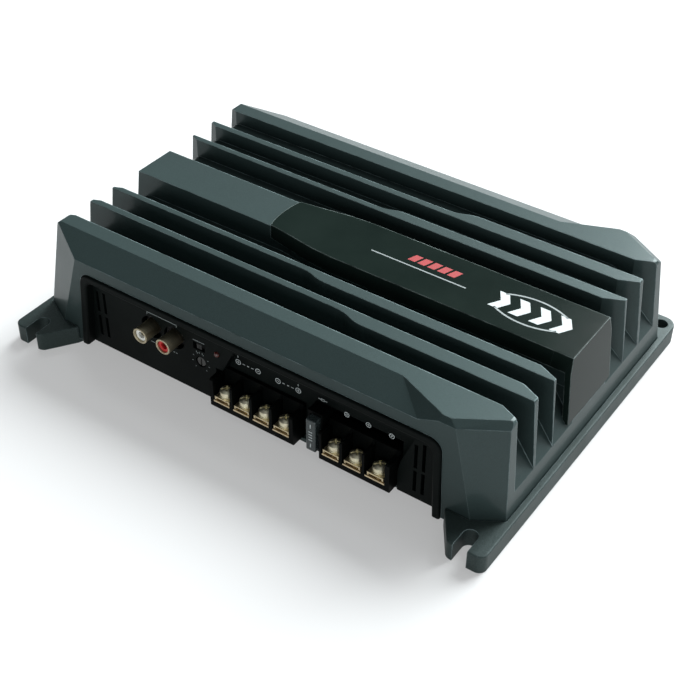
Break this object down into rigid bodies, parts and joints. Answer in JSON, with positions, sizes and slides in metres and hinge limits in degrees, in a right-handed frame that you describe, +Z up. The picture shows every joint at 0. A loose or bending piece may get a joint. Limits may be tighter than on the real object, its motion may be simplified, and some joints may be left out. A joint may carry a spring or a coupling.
{
  "type": "car amplifier",
  "caption": "Finned car audio amplifier with phono inputs, speaker and power screw terminals, a blade fuse, level and filter controls, and slotted mounting ears.",
  "frame": {"origin": "middle of the footprint, on the surface the tray stands on", "axes": "+X along the fins towards the badge end, -Y out of the connector panel, +Z up out of the fins"},
  "size_m": [0.27, 0.1932, 0.059],
  "materials": {
    "casting": "die-cast aluminium under a dark slate-grey metallic satin coat, darker on the fin sides",
    "tray_coat": "dark satin coat, slightly textured",
    "panel_plastic": "fine satin black moulding",
    "badge_gloss": "glossy black with a clear coat",
    "black_plastic": "matt black moulding",
    "block_plastic": "satin black moulding",
    "shell_plating": "dull tinned brass",
    "white_plastic": "satin white",
    "red_plastic": "satin red",
    "contact_plating": "tinned spring bronze",
    "circuit_board": "green solder mask",
    "slider_plastic": "black nylon",
    "rotor_plastic": "satin black",
    "led_lens": "dark red lens, unlit",
    "plate_metal": "pale gold-toned plating",
    "clamp_metal": "yellow-passivated pressed steel",
    "screw_nickel": "pale gold-toned plating, slightly dull",
    "fuse_plastic": "smoke-tinted polycarbonate, slightly see-through",
    "blade_metal": "tinned zinc",
    "screw_steel": "zinc plated",
    "black_screw": "black zinc",
    "ferrite": "dark grey ferrite",
    "copper_wire": "enamelled copper",
    "capacitor_sleeve": "black shrink sleeve, bare aluminium top",
    "chip_plastic": "matt black epoxy",
    "pad_sheet": "grey silicone sheet",
    "bar_metal": "plain extruded bar"
  },
  "bodies": {
    "chassis": {"heatsink": "casting", "bottom_tray": "tray_coat", "connector_panel": "panel_plastic", "badge_cover": "badge_gloss", "rca_housing": "black_plastic", "rca_shells": "shell_plating", "rca_insulator_white": "white_plastic", "rca_insulator_red": "red_plastic", "rca_contacts": "contact_plating", "control_board": "circuit_board", "lpf_switch_body": "black_plastic", "level_pot_body": "black_plastic", "status_led": "led_lens", "speaker_terminal_block": "block_plastic", "speaker_terminal_plates": "plate_metal", "power_terminal_block": "block_plastic", "power_terminal_plates": "plate_metal", "fuse_holder": "block_plastic", "fuse_clips": "contact_plating", "main_board": "circuit_board", "board_screws": "screw_steel", "tray_screws": "black_screw", "panel_screws": "black_screw", "toroid_core": "ferrite", "toroid_winding": "copper_wire", "rail_capacitors": "capacitor_sleeve", "output_inductors": "ferrite", "power_transistors": "chip_plastic", "thermal_pads": "pad_sheet", "clamp_bars": "bar_metal", "clamp_screws": "screw_steel", "board_components": "chip_plastic"},
    "switch_slider": {"lpf_switch_slider": "slider_plastic"},
    "level_rotor": {"level_pot_rotor": "rotor_plastic"},
    "fuse": {"blade_fuse": "fuse_plastic", "fuse_blades": "blade_metal"},
    "speaker_1_clamp": {"speaker_clamp_1": "clamp_metal"},
    "speaker_1_screw": {"speaker_screw_1": "screw_nickel"},
    "speaker_2_clamp": {"speaker_clamp_2": "clamp_metal"},
    "speaker_2_screw": {"speaker_screw_2": "screw_nickel"},
    "speaker_3_clamp": {"speaker_clamp_3": "clamp_metal"},
    "speaker_3_screw": {"speaker_screw_3": "screw_nickel"},
    "speaker_4_clamp": {"speaker_clamp_4": "clamp_metal"},
    "speaker_4_screw": {"speaker_screw_4": "screw_nickel"},
    "power_1_clamp": {"power_clamp_1": "clamp_metal"},
    "power_1_screw": {"power_screw_1": "screw_nickel"},
    "power_2_clamp": {"power_clamp_2": "clamp_metal"},
    "power_2_screw": {"power_screw_2": "screw_nickel"},
    "power_3_clamp": {"power_clamp_3": "clamp_metal"},
    "power_3_screw": {"power_screw_3": "screw_nickel"}
  },
  "joints": [
    {"name": "filter_switch_slide", "type": "slide", "parent": "chassis", "child": "switch_slider", "axis": [1, 0, 0], "range_m": [-0.00175, 0.00175]},
    {"name": "level_control_turn", "type": "hinge", "parent": "chassis", "child": "level_rotor", "pos_m": [-0.0303, -0.0793, 0.0214], "axis": [0, -1, 0], "range_deg": [-140, 140]},
    {"name": "fuse_pull", "type": "slide", "parent": "chassis", "child": "fuse", "axis": [0, -1, 0], "range_m": [0, 0.018]},
    {"name": "speaker_1_clamp_lift", "type": "slide", "parent": "chassis", "child": "speaker_1_clamp", "axis": [0, 0, 1], "range_m": [0, 0.0021]},
    {"name": "speaker_1_screw_turn", "type": "hinge", "parent": "speaker_1_clamp", "child": "speaker_1_screw", "pos_m": [-0.01413, -0.081, 0.0105], "axis": [0, 0, 1], "range_deg": [0, 1080]},
    {"name": "speaker_2_clamp_lift", "type": "slide", "parent": "chassis", "child": "speaker_2_clamp", "axis": [0, 0, 1], "range_m": [0, 0.0021]},
    {"name": "speaker_2_screw_turn", "type": "hinge", "parent": "speaker_2_clamp", "child": "speaker_2_screw", "pos_m": [-0.00263, -0.081, 0.0105], "axis": [0, 0, 1], "range_deg": [0, 1080]},
    {"name": "speaker_3_clamp_lift", "type": "slide", "parent": "chassis", "child": "speaker_3_clamp", "axis": [0, 0, 1], "range_m": [0, 0.0021]},
    {"name": "speaker_3_screw_turn", "type": "hinge", "parent": "speaker_3_clamp", "child": "speaker_3_screw", "pos_m": [0.0088, -0.081, 0.0105], "axis": [0, 0, 1], "range_deg": [0, 1080]},
    {"name": "speaker_4_clamp_lift", "type": "slide", "parent": "chassis", "child": "speaker_4_clamp", "axis": [0, 0, 1], "range_m": [0, 0.0021]},
    {"name": "speaker_4_screw_turn", "type": "hinge", "parent": "speaker_4_clamp", "child": "speaker_4_screw", "pos_m": [0.02022, -0.081, 0.0105], "axis": [0, 0, 1], "range_deg": [0, 1080]},
    {"name": "power_1_clamp_lift", "type": "slide", "parent": "chassis", "child": "power_1_clamp", "axis": [0, 0, 1], "range_m": [0, 0.0021]},
    {"name": "power_1_screw_turn", "type": "hinge", "parent": "power_1_clamp", "child": "power_1_screw", "pos_m": [0.0478, -0.081, 0.0105], "axis": [0, 0, 1], "range_deg": [0, 1080]},
    {"name": "power_2_clamp_lift", "type": "slide", "parent": "chassis", "child": "power_2_clamp", "axis": [0, 0, 1], "range_m": [0, 0.0021]},
    {"name": "power_2_screw_turn", "type": "hinge", "parent": "power_2_clamp", "child": "power_2_screw", "pos_m": [0.05935, -0.081, 0.0105], "axis": [0, 0, 1], "range_deg": [0, 1080]},
    {"name": "power_3_clamp_lift", "type": "slide", "parent": "chassis", "child": "power_3_clamp", "axis": [0, 0, 1], "range_m": [0, 0.0021]},
    {"name": "power_3_screw_turn", "type": "hinge", "parent": "power_3_clamp", "child": "power_3_screw", "pos_m": [0.0716, -0.081, 0.0105], "axis": [0, 0, 1], "range_deg": [0, 1080]}
  ],
  "couplings": [
    {"joint": "speaker_1_screw_turn", "follows": "speaker_1_clamp_lift", "rad_per_m": 8976},
    {"joint": "speaker_2_screw_turn", "follows": "speaker_2_clamp_lift", "rad_per_m": 8976},
    {"joint": "speaker_3_screw_turn", "follows": "speaker_3_clamp_lift", "rad_per_m": 8976},
    {"joint": "speaker_4_screw_turn", "follows": "speaker_4_clamp_lift", "rad_per_m": 8976},
    {"joint": "power_1_screw_turn", "follows": "power_1_clamp_lift", "rad_per_m": 8976},
    {"joint": "power_2_screw_turn", "follows": "power_2_clamp_lift", "rad_per_m": 8976},
    {"joint": "power_3_screw_turn", "follows": "power_3_clamp_lift", "rad_per_m": 8976}
  ]
}
